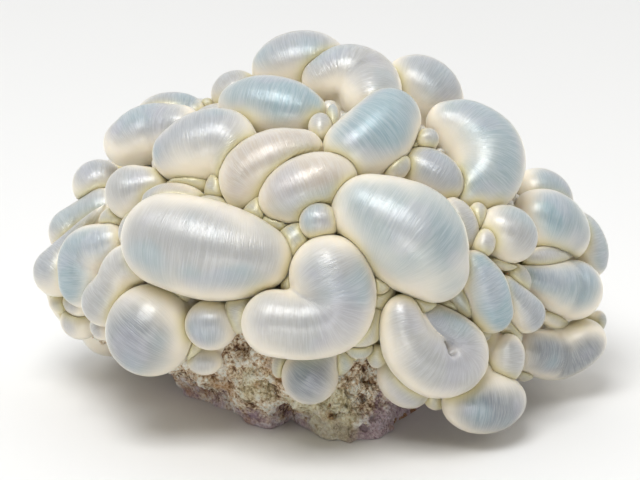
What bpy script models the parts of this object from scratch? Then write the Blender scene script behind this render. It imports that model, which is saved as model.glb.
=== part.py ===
"""A bubble coral: a dome of swollen pearly bubbles crowded on a living skin, on its lump of reef rock.

Lengths are millimetres here and become metres when a mesh is made. The colony is laid out about the
middle of its front view, looked at from FRONT_DISTANCE away and LOOK_DOWN above level, and then moved
so that it stands on z = 0 with the middle of its box on the z axis.
"""
import math
from collections import namedtuple

import bmesh
import bpy
import numpy as np
from mathutils import Vector, noise

MILLIMETRE = 0.001

# The colony
FLOOR = -40.0                 # the rock's cut base
BOX_MIDDLE = (0.58, 0.29)     # the middle of the colony's box, seen from above
DOME = (61.0, 47.0, 51.0)     # half sizes of the dome on which the bubbles' middles lie
DOME_MIDDLE = (0.0, 0.0, -12.0)
FRONT_DISTANCE = 1000.0
LOOK_DOWN = math.radians(20)
DEPTH_FOLLOW = 0.7            # how closely a long bubble follows the dome's curve
RIM_SOFTNESS = 0.0025         # eases the dome's depth where it curves out of sight
HEIGHT_COUNTS = 0.4           # how much a back bubble's height counts beside its depth for its place in line

# The bubbles
GAP = 0.7                     # clear of the neighbour that presses a dent into a bubble
SEAT_GAP = 0.8                # clear of the skin and the rock under a bubble
FACE_GAP = 0.35               # the least that a flat face stays clear of a neighbour
FACE_BRIDGE = 0.2             # how far a flat face may stand out over the bubble's own hollows
DENT_SOFTNESS = 1.6           # roundness of a dent's edge
FLOOR_GAP = 0.6
NECK_REACH = 0.62             # where a neck ends, as a share of its bubble's place on the dome
NECK_START = 0.8              # a neck's radius where it leaves the bubble and where it ends,
NECK_END = 0.5                # as shares of the bubble's own radius
END_FULLNESS = 0.15           # how far an oval's ends fill out from an ellipse's
END_WIDTH = 0.95              # towards this share of its width
BALLS = 25                    # balls along a bubble's middle line
NECK_BALLS = 8

# How a bubble's mesh is let out to its surface
FOLDED_DETAIL = (15, 10)      # segments and rings of a bubble that turns back on itself
FOLD_BEND = 0.0               # the cosine between its ends below which it does
BACK_DETAIL = (10, 7)
FRONT_DETAIL = [(10.5, 14, 8), (6.5, 11, 7), (0.0, 10, 6)]     # for radii above the first number
RAY_STRETCH = 0.5             # how much the rays crowd towards the ends of a long bubble
WALK_STEP = 0.5
WALK_END = 45.0
HALVINGS = 14
FACE_STEPS = 4                # steps along a face's side at which its room is tried
PULL_ROUNDS = 60
PULL_SHARE = 0.6              # share of the lacking room that a corner is drawn in at a time
PULL_LIMIT = 0.3              # and the most, as a share of its distance

# The living skin that the bubbles grow from
SKIN = (52.0, 39.0, 41.0)
SKIN_FOOT = -3.7
SKIN_FOLD = 0.7
FOLD_SIZES = (9.0, 8.0, 12.0)  # lengths of the folds across, back and up
SKIN_SPOKES = 24
SKIN_RINGS = 7

# The rock
ROCK_TOP = -4.0
ROCK_WAIST = -25.0            # the level at which it is widest
ROCK_MIDDLE = (-4.0, -5.0)
ROCK_SPOKES = 56
ROCK_RINGS = 16
LUMP_HEIGHT = 3.4
LUMP_SIZE = 13.0
KNOB_HEIGHT = 1.7
KNOB_SIZE = 5.5
LUMP_FADE = 9.0               # the lumps fade out over this height below the top
BELLY = 1.2                   # how late the bowl widens above its base
RING_CROWDING = 1.15          # how much closer together the rings lie near the base
SLOPE_SHARE = 0.8             # keeps a level distance to the rock below its true reach

# Outlines of the rock at its cut base, at its waist and at its top: across and back, from above
BASE_OUTLINE = [(-35, 0), (-32, -6), (-28, -10), (-21.5, -15), (-17, -25), (-12.5, -28), (-7.5, -22),
                (-2.5, -28), (3, -34), (8, -37.5), (12.5, -33), (18, -23), (23, -15), (26, -5), (28, 8),
                (18, 21), (2, 27), (-16, 25), (-30, 14)]
WAIST_OUTLINE = [(-58, 2), (-45, -12), (-27, -27), (-12, -33), (7, -36), (21, -26), (36, -15), (43, 0),
                 (36, 20), (16, 31), (-10, 33), (-36, 25), (-51, 14)]
TOP_OUTLINE = [(-48, 0), (-38, -21), (-20, -32), (0, -35), (22, -31), (39, -20), (47, 0), (38, 21),
               (20, 31), (0, 35), (-20, 32), (-38, 21)]

# Holes worn into the rock: degrees round from the right, level, radius and depth
PITS = [(-80, -29, 3.2, 4.5), (-72, -22, 2.4, 3.0), (-63, -30, 2.6, 3.5), (-88, -36, 2.2, 2.5),
        (-56, -24, 2.4, 3.0), (-97, -18, 2.6, 3.0), (-108, -26, 3.0, 3.0), (-124, -16, 3.4, 3.5),
        (-138, -27, 2.8, 3.0), (-152, -20, 2.6, 2.5), (-168, -29, 3.0, 3.0), (-40, -30, 3.2, 3.5),
        (-18, -22, 3.0, 3.0), (4, -31, 3.4, 3.5), (27, -20, 3.0, 3.0), (49, -29, 3.6, 4.0),
        (73, -18, 3.0, 3.0), (92, -30, 3.4, 3.5), (114, -22, 3.2, 3.5), (135, -31, 3.0, 3.0),
        (158, -19, 3.2, 3.0), (176, -33, 2.6, 2.5)]

# Colours in plain light
CREAM = (0.80, 0.76, 0.66)
PEARL = (0.70, 0.73, 0.72)
PEACH = (0.82, 0.74, 0.62)
SEA_GREEN = (0.66, 0.74, 0.68)
SKIN_GREEN = (0.52, 0.50, 0.22)
ROCK_BUFF = (0.46, 0.38, 0.28)
BUBBLE_ROUGHNESS = 0.32
SKIN_ROUGHNESS = 0.5
ROCK_ROUGHNESS = 0.9

# Round bubbles of the front: name, across and up of the middle as seen from the front, half length,
# half width, degrees of tilt, how far it stands out of the dome, colour
FRONT_OVALS = [
    ("crown_back", -5.2, 43.8, 12.0, 8.6, 10, -5, PEARL),
    ("crown_right", 25.8, 37.0, 10.8, 8.8, -35, -4, PEARL),
    ("crown_left_small", -21.0, 36.5, 6.4, 6.0, 20, -7, CREAM),
    ("upper_mid", -11.8, 32.8, 13.7, 8.2, -8, 1, SEA_GREEN),
    ("shoulder_back", -36.8, 31.8, 8.9, 5.3, 0, -8, PEARL),
    ("front_oval", -3.0, 13.0, 12.7, 8.1, 22, 4, PEACH),
    ("right_nook", 27.8, 16.2, 8.8, 6.2, -32, 0, PEARL),
    ("far_left_back", -55.5, 14.0, 6.6, 6.2, 20, -8, PEARL),
    ("low_left_round", -42.2, -22.5, 11.4, 11.1, 60, 6, PEARL),
    ("left_saddle", -36.0, 9.0, 8.6, 5.2, -6, 2, PEACH),
    ("top_hollow", -27.0, 26.2, 8.4, 6.8, 60, -19, CREAM),
    ("low_left_bud", -60.0, -20.5, 5.0, 4.4, -15, -4, CREAM),
    ("low_left_small", -27.2, -21.2, 6.4, 6.2, 0, 5, PEARL),
    ("low_behind_curl", 20.8, -35.5, 7.4, 5.6, -45, 0, PEARL),
    ("low_right_oval", 41.0, -40.5, 10.5, 7.8, 5, 12, PEARL),
    ("right_drop", 46.5, -29.8, 6.4, 4.6, 80, 7, CREAM),
    ("right_round", 46.8, 1.5, 7.8, 6.9, -35, 5, CREAM),
    ("right_wide", 57.5, 3.5, 10.8, 8.6, -35, 0, SEA_GREEN),
    ("right_high_back", 55.5, 10.8, 8.2, 7.0, -30, -8, PEARL),
    ("far_right_back", 65.8, -0.8, 9.0, 5.8, -65, -7, CREAM),
]

# Long and curled bubbles of the front: name, how far it stands out of the dome, colour, and the points
# of its middle line with the radius there: across, up, radius
FRONT_CHAINS = [
    ("crown", 3, CREAM, (1.2, 40.0, 5.8), (6.5, 41.8, 7.2), (11.5, 39.2, 8.2), (13.2, 35.0, 7.4)),
    ("upper_egg", 5, SEA_GREEN, (17.2, 30.0, 7.9), (14.0, 26.0, 8.9), (9.2, 22.5, 8.4)),
    ("shoulder_left", 0, PEARL, (-48.2, 24.2, 6.0), (-42.5, 26.5, 7.6), (-35.0, 28.0, 5.8)),
    ("shoulder_oval", 3, PEARL, (-34.8, 21.5, 7.0), (-29.0, 23.2, 9.0), (-23.5, 24.0, 8.0),
     (-22.5, 18.0, 4.5)),
    ("middle_oval", 2, PEACH, (-4.8, 21.8, 5.8), (-11.5, 19.5, 8.0), (-18.0, 16.0, 7.0), (-20.5, 10.5, 3.0)),
    ("right_curl", 3, SEA_GREEN, (32.5, 27.8, 5.8), (37.0, 25.5, 8.7), (41.5, 21.8, 9.9), (41.0, 16.5, 8.5),
     (37.0, 13.5, 6.0)),
    ("front_right", 7, SEA_GREEN, (12.5, 6.8, 9.4), (18.0, 3.5, 11.8), (23.5, -0.2, 12.6),
     (28.8, -7.2, 8.2)),
    ("front_left", 7, CREAM, (-38.0, 0.0, 11.4), (-32.8, -1.3, 12.0), (-27.0, -2.8, 12.0),
     (-21.0, -3.8, 10.6), (-15.6, -4.4, 8.2)),
    ("front_curl", 8, CREAM, (2.8, -9.3, 10.3), (3.4, -15.0, 9.8), (-1.8, -20.0, 9.0),
     (-11.2, -20.8, 8.2)),
    ("low_curl", 6, CREAM, (20.5, -18.0, 5.2), (21.0, -23.8, 6.2), (25.3, -29.5, 7.8), (32.2, -30.8, 8.2),
     (34.5, -26.2, 7.4), (31.0, -22.2, 5.6)),
    ("left_bud", 1, CREAM, (-46.8, 11.8, 6.9), (-42.0, 13.5, 4.6)),
    ("far_left_high", -9, CREAM, (-61.8, 2.0, 6.2), (-54.0, 7.5, 5.6)),
    ("far_left_bulb", -1, PEARL, (-65.5, -8.0, 6.3), (-62.0, -2.5, 4.4), (-57.5, 1.5, 4.2),
     (-52.0, 5.5, 4.2)),
    ("far_left_long", 1, SEA_GREEN, (-58.5, -10.2, 6.9), (-57.8, -4.0, 7.2), (-52.5, -0.8, 5.0)),
    ("left_double", 5, CREAM, (-53.5, -15.5, 6.1), (-51.2, -11.5, 5.2), (-48.8, -7.0, 5.4),
     (-45.0, -5.5, 5.2)),
    ("low_middle", 2, SEA_GREEN, (1.0, -29.2, 3.4), (-2.5, -34.0, 6.9)),
    ("right_long", 5, SEA_GREEN, (38.5, -6.8, 4.2), (41.0, -12.0, 5.8), (42.8, -17.8, 5.4)),
    ("right_pear", 3, PEARL, (46.2, -11.2, 2.4), (49.2, -15.2, 3.8), (51.5, -18.5, 4.8)),
    ("far_right_pear", 1, SEA_GREEN, (49.2, -8.2, 1.8), (55.0, -10.2, 4.0), (60.8, -12.0, 7.2),
     (63.2, -12.5, 7.6)),
    ("far_right_bean", 0, CREAM, (52.0, -27.0, 5.2), (59.5, -29.0, 6.8), (65.8, -25.5, 5.8)),
]

# Bubbles of the back: name, degrees round from straight back towards the right side, degrees above the
# dome's middle level, half length, half width, degrees of tilt, colour
BACK_OVALS = [
    ("back_top_left", -38, 35, 13.0, 9.6, 20, CREAM),
    ("back_top", 4, 48, 15.5, 11.0, -8, PEARL),
    ("back_top_right", 42, 34, 13.5, 10.2, -25, CREAM),
    ("back_high_left", -52, 16, 15.0, 11.0, 30, PEARL),
    ("back_high_mid_left", -19, 22, 16.5, 11.4, -20, PEACH),
    ("back_high_mid_right", 15, 20, 14.5, 11.8, 35, CREAM),
    ("back_high_right", 50, 10, 15.5, 11.4, -35, SEA_GREEN),
    ("back_far_left", -79, -5, 12.5, 9.8, 70, PEARL),
    ("back_left", -51, -10, 15.0, 11.2, -25, CREAM),
    ("back_mid_left", -24, -6, 16.0, 11.0, 20, SEA_GREEN),
    ("back_middle", 7, -7, 15.5, 12.4, -15, PEARL),
    ("back_right", 40, -11, 16.5, 11.0, 15, CREAM),
    ("back_far_right", 74, -7, 12.5, 9.8, -75, PEACH),
    ("back_low_left", -67, -20, 11.0, 8.0, 10, CREAM),
    ("back_low_mid_left", -35, -21, 12.5, 7.6, -8, PEARL),
    ("back_low_middle", -8, -21, 12.5, 7.8, 5, SEA_GREEN),
    ("back_low_mid_right", 21, -21, 12.5, 7.8, -5, PEACH),
    ("back_low_right", 54, -20, 12.5, 8.2, 10, PEARL),
]

Bubble = namedtuple("Bubble", "name colour balls radii seen_from_front nearness")

# Places within a face, as shares of its corners
FACE_SPOTS = np.array([(first, second, FACE_STEPS - first - second) for first in range(FACE_STEPS + 1)
                       for second in range(FACE_STEPS + 1 - first)]) / FACE_STEPS

DOME_AXES = np.array(DOME)
DOME_CENTRE = np.array(DOME_MIDDLE)
VIEW_RIGHT = np.array([1.0, 0.0, 0.0])
VIEW_UP = np.array([0.0, math.sin(LOOK_DOWN), math.cos(LOOK_DOWN)])
VIEW_NEAR = np.array([0.0, -math.cos(LOOK_DOWN), math.sin(LOOK_DOWN)])


def clear_scene():
    """Remove the objects that the scene starts with."""
    for obj in list(bpy.data.objects):
        bpy.data.objects.remove(obj, do_unlink=True)


def finish(name, colour, roughness):
    """A plain material with the part's colour."""
    material = bpy.data.materials.new(name + "_finish")
    material.use_nodes = True
    shader = material.node_tree.nodes["Principled BSDF"]
    shader.inputs["Base Color"].default_value = (*colour, 1.0)
    shader.inputs["Roughness"].default_value = roughness
    shader.inputs["Metallic"].default_value = 0.0
    material.diffuse_color = (*colour, 1.0)
    return material


def smooth_curve(points, count):
    """Evenly numbered places along a smooth curve through the points."""
    points = np.asarray(points, float)
    ends = np.vstack([2 * points[0] - points[1], points, 2 * points[-1] - points[-2]])
    place = np.linspace(0, len(points) - 1, count)
    first = np.minimum(place.astype(int), len(points) - 2)
    share = (place - first)[:, None]
    before, start, stop, after = (ends[first + step] for step in range(4))
    return 0.5 * (2 * start + (stop - before) * share
                  + (2 * before - 5 * start + 4 * stop - after) * share ** 2
                  + (3 * start - before - 3 * stop + after) * share ** 3)


def dome_depth(across, up):
    """How far in front of the view's middle the dome lies, at places of the front view."""
    base = across[:, None] * VIEW_RIGHT + up[:, None] * VIEW_UP - DOME_CENTRE
    ray = VIEW_NEAR / DOME_AXES
    a = (ray ** 2).sum()
    b = (base / DOME_AXES * ray).sum(1)
    c = ((base / DOME_AXES) ** 2).sum(1) - 1
    inside = np.maximum(b * b - a * c, 0)
    return (inside / (np.sqrt(inside) + RIM_SOFTNESS) - b) / a


def oval_radii(long, wide, share):
    """Radii along an oval's middle line, and half the length of that line."""
    end = wide * wide / long
    end += END_FULLNESS * (END_WIDTH * wide - end)
    return np.sqrt(wide ** 2 - (wide ** 2 - end ** 2) * share ** 2), long - end


def with_neck(line, radii):
    """The bubble's balls, and those of the neck that joins it to the living skin."""
    middle = line[len(line) // 2]
    foot = DOME_CENTRE + NECK_REACH * (middle - DOME_CENTRE)
    foot[2] = max(foot[2], SKIN_FOOT)
    share = np.linspace(0, 1, NECK_BALLS)[:, None]
    neck = middle + (foot - middle) * share
    size = radii[len(radii) // 2]
    neck_radii = size * (NECK_START + (NECK_END - NECK_START) * share[:, 0])
    return np.vstack([line, neck]), np.concatenate([radii, neck_radii])


def front_bubble(name, rows, out, colour):
    """A bubble whose middle line is known as seen from the front."""
    line = smooth_curve(rows, BALLS)
    depth = dome_depth(line[:, 0], line[:, 1])
    depth = depth.mean() + DEPTH_FOLLOW * (depth - depth.mean()) + out
    nearer = (1 - depth / FRONT_DISTANCE)[:, None]
    places = (line[:, :1] * nearer * VIEW_RIGHT + line[:, 1:2] * nearer * VIEW_UP
              + depth[:, None] * VIEW_NEAR)
    balls, radii = with_neck(places, line[:, 2])
    return Bubble(name, colour, balls, radii, True, (depth + line[:, 2]).max())


def front_oval(name, across, up, long, wide, tilt, out, colour):
    """A front bubble that is a plain oval."""
    share = np.linspace(-1, 1, 5)
    radii, half = oval_radii(long, wide, share)
    turn = math.radians(tilt)
    rows = np.column_stack([across + share * half * math.cos(turn), up + share * half * math.sin(turn),
                            radii])
    return front_bubble(name, rows, out, colour)


def back_oval(name, round_by, above, long, wide, tilt, colour):
    """A bubble of the back, placed by its direction from the dome's middle."""
    share = np.linspace(-1, 1, BALLS)
    radii, half = oval_radii(long, wide, share)
    side, height, turn = (math.radians(angle) for angle in (round_by, above, tilt))
    out = np.array([math.sin(side) * math.cos(height), math.cos(side) * math.cos(height), math.sin(height)])
    level = np.array([math.cos(side), -math.sin(side), 0.0])
    along = level * math.cos(turn) + np.cross(out, level) * math.sin(turn)
    flat = DOME_AXES * out + (share * half)[:, None] * along
    places = DOME_CENTRE + flat / np.linalg.norm(flat / DOME_AXES, axis=1)[:, None]
    balls, radii = with_neck(places, radii)
    nearness = places[:, 1].mean() + HEIGHT_COUNTS * places[:, 2].mean()
    return Bubble(name, colour, balls, radii, False, nearness)


def outline_radius(outline, angles):
    """How far an outline lies from the rock's middle, in each direction."""
    spots = np.asarray(outline, float) - ROCK_MIDDLE
    turns = np.arctan2(spots[:, 1], spots[:, 0])
    order = np.argsort(turns)
    reach = np.hypot(spots[:, 0], spots[:, 1])
    return np.interp(angles, turns[order], reach[order], period=2 * math.pi)


def rock_levels():
    """Levels of the rock's rings, closer together near its cut base."""
    return FLOOR + (ROCK_TOP - FLOOR) * np.linspace(0, 1, ROCK_RINGS + 1) ** RING_CROWDING


def ease(share):
    """A smooth step from 0 to 1."""
    share = np.clip(share, 0, 1)
    return share * share * (3 - 2 * share)


def rock_form():
    """The rock's radius for every level and direction: bowl, lumps, knobs and pits."""
    levels = rock_levels()
    angles = np.linspace(-math.pi, math.pi, ROCK_SPOKES, endpoint=False)
    base, waist, top = (outline_radius(line, angles) for line in (BASE_OUTLINE, WAIST_OUTLINE, TOP_OUTLINE))
    lower = ease(np.clip((levels - FLOOR) / (ROCK_WAIST - FLOOR), 0, 1) ** BELLY)[:, None]
    upper = ease((levels - ROCK_WAIST) / (ROCK_TOP - ROCK_WAIST))[:, None]
    radius = base + (waist - base) * lower + (top - waist) * upper
    fade = 1 - ease((levels - ROCK_TOP + LUMP_FADE) / LUMP_FADE)
    for row, level in enumerate(levels):
        for column, angle in enumerate(angles):
            spot = Vector((math.cos(angle), math.sin(angle), 0)) * float(radius[row, column])
            spot.z = float(level)
            lump = LUMP_HEIGHT * noise.noise(spot / LUMP_SIZE) + KNOB_HEIGHT * noise.noise(spot / KNOB_SIZE)
            radius[row, column] += lump * fade[row]
    for turn, level, size, depth in PITS:
        away = np.angle(np.exp(1j * (angles - math.radians(turn)))) * radius
        far = (away ** 2 + (levels[:, None] - level) ** 2) / size ** 2
        radius -= depth * np.exp(-far)
    return levels, angles, radius


ROCK_LEVELS, ROCK_ANGLES, ROCK_RADIUS = rock_form()


def rock_distance(points):
    """About how far each point is outside the rock."""
    x, y = points[:, 0] - ROCK_MIDDLE[0], points[:, 1] - ROCK_MIDDLE[1]
    turn = (np.arctan2(y, x) + math.pi) / (2 * math.pi) * ROCK_SPOKES
    left = turn.astype(int) % ROCK_SPOKES
    right = (left + 1) % ROCK_SPOKES
    share = turn - turn.astype(int)
    ring = np.clip(np.searchsorted(ROCK_LEVELS, points[:, 2]) - 1, 0, ROCK_RINGS - 1)
    rise = np.clip((points[:, 2] - ROCK_LEVELS[ring]) / (ROCK_LEVELS[ring + 1] - ROCK_LEVELS[ring]), 0, 1)
    low = ROCK_RADIUS[ring, left] * (1 - share) + ROCK_RADIUS[ring, right] * share
    high = ROCK_RADIUS[ring + 1, left] * (1 - share) + ROCK_RADIUS[ring + 1, right] * share
    beside = (np.hypot(x, y) - low * (1 - rise) - high * rise) * SLOPE_SHARE
    return np.maximum(beside, points[:, 2] - ROCK_TOP)


def skin_fold(points):
    """The low folds of the living skin."""
    across, back, up = (points / FOLD_SIZES).T
    return SKIN_FOLD * np.sin(across + up) * np.sin(back)


def skin_distance(points):
    """About how far each point is outside the living skin."""
    scaled = (points - DOME_CENTRE) / np.array(SKIN)
    length = np.linalg.norm(scaled, axis=1)
    beside = (length - 1) * min(SKIN) - skin_fold(points)
    return np.maximum(beside, SKIN_FOOT - points[:, 2])


def ball_distance(points, bubble):
    """How far each point is outside a bubble that nothing presses on."""
    nearest = np.full(len(points), np.inf)
    for ball, radius in zip(bubble.balls, bubble.radii):
        nearest = np.minimum(nearest, np.linalg.norm(points - ball, axis=1) - radius)
    return nearest


def press(own, other, gap):
    """A form pressed in by another with a rounded edge, staying the gap away from it."""
    dent = gap - other
    close = np.maximum(DENT_SOFTNESS - np.abs(own - dent), 0)
    return np.maximum(own, dent) + close ** 2 / (4 * DENT_SOFTNESS)


def pressed_distance(points, bubble, neighbours):
    """How far each point is outside a bubble, with the dents of its neighbours, skin, rock and floor."""
    away = ball_distance(points, bubble)
    for other in neighbours:
        away = press(away, ball_distance(points, other), GAP)
    away = press(away, skin_distance(points), SEAT_GAP)
    away = press(away, rock_distance(points), SEAT_GAP)
    return press(away, points[:, 2] - FLOOR, FLOOR_GAP)


def draw_back(start, places, faces, bubble, neighbours):
    """Draw corners in until no flat face comes too near a neighbour or bridges the bubble's own hollows."""
    for _ in range(PULL_ROUNDS):
        spots = np.einsum("sc,fcx->fsx", FACE_SPOTS, places[faces]).reshape(-1, 3)
        room = np.minimum(skin_distance(spots), rock_distance(spots))
        for other in neighbours:
            room = np.minimum(room, ball_distance(spots, other))
        room = np.minimum(room, FACE_GAP + FACE_BRIDGE - ball_distance(spots, bubble))
        lack = FACE_GAP - room.reshape(len(faces), -1).min(axis=1)
        if lack.max() <= 0:
            break
        pull = np.zeros(len(places))
        np.maximum.at(pull, faces.ravel(), np.repeat(np.maximum(lack, 0), 3))
        reach = np.linalg.norm(places - start, axis=1)
        drawn = np.minimum(PULL_SHARE * pull / reach, PULL_LIMIT)
        places = start + (places - start) * (1 - drawn)[:, None]
    return places


def touching(bubble, other):
    """Whether two bubbles come near each other."""
    apart = np.linalg.norm(bubble.balls[:, None] - other.balls[None], axis=2)
    return (apart - bubble.radii[:, None] - other.radii[None]).min() < GAP + DENT_SOFTNESS


def folded(bubble):
    """Whether a bubble's middle line turns back on itself."""
    start = bubble.balls[1] - bubble.balls[0]
    stop = bubble.balls[BALLS - 1] - bubble.balls[BALLS - 2]
    return start @ stop < FOLD_BEND * np.linalg.norm(start) * np.linalg.norm(stop)


def bubble_detail(bubble):
    """Segments and rings of a bubble's mesh, by its size and by how far it curls."""
    if folded(bubble):
        return FOLDED_DETAIL
    if not bubble.seen_from_front:
        return BACK_DETAIL
    return next(detail for smallest, *detail in FRONT_DETAIL if bubble.radii.max() > smallest)


def solid_object(name, shape, material, smooth, place=(0, 0, 0)):
    """An object from a mesh whose vertices are in millimetres about the place."""
    for vertex in shape.verts:
        vertex.co = (vertex.co - Vector(place)) * MILLIMETRE
    mesh = bpy.data.meshes.new(name)
    shape.to_mesh(mesh)
    shape.free()
    mesh.materials.append(material)
    for face in mesh.polygons:
        face.use_smooth = smooth
    obj = bpy.data.objects.new(name, mesh)
    obj.location = Vector(place) * MILLIMETRE
    bpy.context.collection.objects.link(obj)
    return obj


def rays_to_surface(start, rays, bubble, neighbours):
    """Where each ray leaves the bubble: a walk outwards, then halving of the last step."""
    walk = np.arange(WALK_STEP, WALK_END, WALK_STEP)
    places = start + rays[:, None, :] * walk[None, :, None]
    away = pressed_distance(places.reshape(-1, 3), bubble, neighbours).reshape(len(rays), -1)
    out = walk[(away > 0).argmax(axis=1)]
    inside = out - WALK_STEP
    for _ in range(HALVINGS):
        half = (inside + out) / 2
        outside = pressed_distance(start + rays * half[:, None], bubble, neighbours) > 0
        out = np.where(outside, half, out)
        inside = np.where(outside, inside, half)
    return start + rays * inside[:, None]


def make_bubble(bubble, neighbours):
    """A ball whose rays are let out to the bubble's pressed surface."""
    depth = pressed_distance(bubble.balls, bubble, neighbours)
    start = bubble.balls[depth.argmin()]
    along = bubble.balls[BALLS - 1] - bubble.balls[0]
    length = np.linalg.norm(along)
    along = along / length
    outward = start - DOME_CENTRE
    side = np.cross(outward, along)
    side /= np.linalg.norm(side)
    turn = np.array([side, np.cross(along, side), along])
    stretch = np.array([1, 1, 1 + RAY_STRETCH * length / bubble.radii.max()])
    segments, rings = bubble_detail(bubble)
    shape = bmesh.new()
    bmesh.ops.create_uvsphere(shape, u_segments=segments, v_segments=rings, radius=1)
    rays = (np.array([vertex.co for vertex in shape.verts]) * stretch) @ turn
    rays /= np.linalg.norm(rays, axis=1)[:, None]
    bmesh.ops.triangulate(shape, faces=shape.faces)
    faces = np.array([[vertex.index for vertex in face.verts] for face in shape.faces])
    places = rays_to_surface(start, rays, bubble, neighbours)
    for vertex, place in zip(shape.verts, draw_back(start, places, faces, bubble, neighbours)):
        vertex.co = place
    return solid_object(bubble.name, shape, finish(bubble.name, bubble.colour, BUBBLE_ROUGHNESS), True, start)


def spun(profile, spokes):
    """A closed solid from a profile of (radius, level) pairs turned about the z axis."""
    shape = bmesh.new()
    corners = [shape.verts.new((radius, 0, level)) for radius, level in profile]
    sides = [shape.edges.new(pair) for pair in zip(corners, corners[1:])]
    bmesh.ops.spin(shape, geom=corners + sides, axis=(0, 0, 1), cent=(0, 0, 0), angle=2 * math.pi,
                   steps=spokes, use_merge=True)
    bmesh.ops.remove_doubles(shape, verts=shape.verts, dist=1e-4)
    bmesh.ops.recalc_face_normals(shape, faces=shape.faces)
    return shape


def make_rock():
    """The lump of rock: spun rings pushed out to the rock's form."""
    profile = [(0, FLOOR)] + [(1, level) for level in ROCK_LEVELS] + [(0, ROCK_TOP)]
    shape = spun(profile, ROCK_SPOKES)
    for vertex in shape.verts:
        if vertex.co.xy.length > 0.5:
            column = round((math.atan2(vertex.co.y, vertex.co.x) + math.pi) / (2 * math.pi) * ROCK_SPOKES)
            row = int(np.abs(ROCK_LEVELS - vertex.co.z).argmin())
            vertex.co.xy = vertex.co.xy.normalized() * ROCK_RADIUS[row, column % ROCK_SPOKES]
        vertex.co.xy += Vector(ROCK_MIDDLE)
    bmesh.ops.triangulate(shape, faces=[face for face in shape.faces if len(face.verts) > 3])
    return solid_object("rock_base", shape, finish("rock_base", ROCK_BUFF, ROCK_ROUGHNESS), False)


def make_skin():
    """The living skin over the rock's top: a low dome with shallow folds."""
    foot = math.asin((SKIN_FOOT - DOME_MIDDLE[2]) / SKIN[2])
    heights = np.linspace(foot, math.pi / 2, SKIN_RINGS + 1)
    profile = [(0, SKIN_FOOT)] + [(math.cos(height), DOME_MIDDLE[2] + SKIN[2] * math.sin(height))
                                  for height in heights[:-1]] + [(0, DOME_MIDDLE[2] + SKIN[2])]
    shape = spun(profile, SKIN_SPOKES)
    for vertex in shape.verts:
        vertex.co.x *= SKIN[0]
        vertex.co.y *= SKIN[1]
        if vertex.co.z > SKIN_FOOT + 0.1:
            fold = float(skin_fold(np.array([vertex.co]))[0])
            vertex.co += (vertex.co - Vector(DOME_MIDDLE)).normalized() * fold
    return solid_object("living_skin", shape, finish("living_skin", SKIN_GREEN, SKIN_ROUGHNESS), True)


def make_bubbles():
    """Every bubble, the foremost first, so that each is pressed only by those in front of it."""
    bubbles = [front_oval(*row) for row in FRONT_OVALS]
    bubbles += [front_bubble(name, rows, out, colour) for name, out, colour, *rows in FRONT_CHAINS]
    bubbles += [back_oval(*row) for row in BACK_OVALS]
    bubbles.sort(key=lambda bubble: (bubble.seen_from_front, bubble.nearness), reverse=True)
    return [make_bubble(bubble, [other for other in bubbles[:place] if touching(bubble, other)])
            for place, bubble in enumerate(bubbles)]


def main():
    clear_scene()
    colony = bpy.data.objects.new("colony", None)
    bpy.context.collection.objects.link(colony)
    for obj in [make_rock(), make_skin()] + make_bubbles():
        obj.parent = colony
    colony.location = Vector((-BOX_MIDDLE[0], -BOX_MIDDLE[1], -FLOOR)) * MILLIMETRE


main()
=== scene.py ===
import math
from collections import namedtuple

import bmesh
import bpy
import numpy as np
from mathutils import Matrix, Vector, noise


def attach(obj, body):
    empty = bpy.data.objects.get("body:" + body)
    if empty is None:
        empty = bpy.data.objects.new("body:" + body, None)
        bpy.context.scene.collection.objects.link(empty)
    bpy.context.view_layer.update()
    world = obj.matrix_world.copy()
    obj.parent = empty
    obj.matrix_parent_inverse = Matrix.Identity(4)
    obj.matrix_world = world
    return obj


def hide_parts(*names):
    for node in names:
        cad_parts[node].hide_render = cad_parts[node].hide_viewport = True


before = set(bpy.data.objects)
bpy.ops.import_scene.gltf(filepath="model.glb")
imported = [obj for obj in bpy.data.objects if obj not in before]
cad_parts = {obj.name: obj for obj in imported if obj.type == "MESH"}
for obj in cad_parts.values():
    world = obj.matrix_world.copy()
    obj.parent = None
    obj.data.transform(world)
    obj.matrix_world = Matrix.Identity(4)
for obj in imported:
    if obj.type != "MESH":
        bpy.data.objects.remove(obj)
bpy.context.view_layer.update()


# Rock base
# The rock is a loose lump of old reef limestone: a pitted bowl on a narrow foot, cut flat underneath.
# Boring animals left round holes in it, and mauve, olive and rusty crusts grew over its knobs.
MM = 0.001  # levels and places are millimetres about the view's middle
FLOOR = -40.0  # the rock's cut base
BOX_MIDDLE = (0.58, 0.29)  # the middle of the colony's box, seen from above
ROCK_TOP = -4.0
ROCK_WAIST = -25.0
ROCK_MIDDLE = (-4.0, -5.0)
ROCK_SPOKES = 480
ROCK_RINGS = 120
INNER_RING = 0.5  # where the flat ends have a ring of corners, as a share of the radius
NARROW_FOOT = 1.2  # above 1, the bowl stays narrow for longer above its foot
LUMP_HEIGHT = 3.4
LUMP_SIZE = 13.0
KNOB_HEIGHT = 1.7
KNOB_SIZE = 5.5
LUMP_FADE = 9.0  # how far under the top the lumps die out
BASE_OUTLINE = [(-35, 0), (-32, -6), (-28, -10), (-21.5, -15), (-17, -25), (-12.5, -28), (-7.5, -22),
                (-2.5, -28), (3, -34), (8, -37.5), (12.5, -33), (18, -23), (23, -15), (26, -5), (28, 8),
                (18, 21), (2, 27), (-16, 25), (-30, 14)]
WAIST_OUTLINE = [(-58, 2), (-45, -12), (-27, -27), (-12, -33), (7, -36), (21, -26), (36, -15), (43, 0),
                 (36, 20), (16, 31), (-10, 33), (-36, 25), (-51, 14)]
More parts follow.
